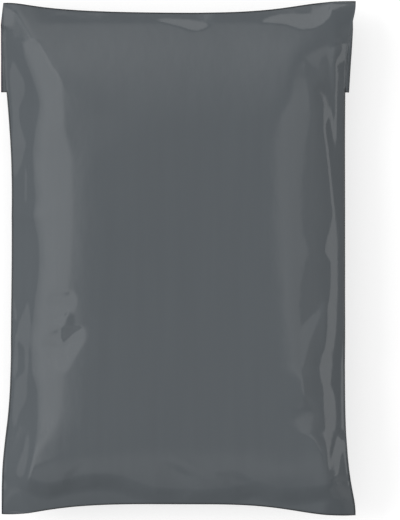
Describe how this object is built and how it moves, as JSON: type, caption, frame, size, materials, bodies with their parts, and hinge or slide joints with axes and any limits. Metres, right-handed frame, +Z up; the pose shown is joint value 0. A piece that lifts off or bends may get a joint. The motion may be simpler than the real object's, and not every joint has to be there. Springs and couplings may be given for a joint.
{
  "type": "poly mailer bag",
  "caption": "Filled and sealed grey plastic film mailer, a soft pillow pack with welded sides, a folded bottom and a flap glued over its back.",
  "frame": {"origin": "on the surface the pack lies on, under the middle of the pack", "axes": "+X across the bag to the right in the picture, +Y along it towards the flap's fold at the picture's top, +Z up out of the plain front"},
  "size_m": [0.159, 0.23, 0.032],
  "materials": {
    "film": "semi-gloss opaque grey film"
  },
  "bodies": {
    "root": {"mailer_bag": "film"}
  },
  "joints": []
}
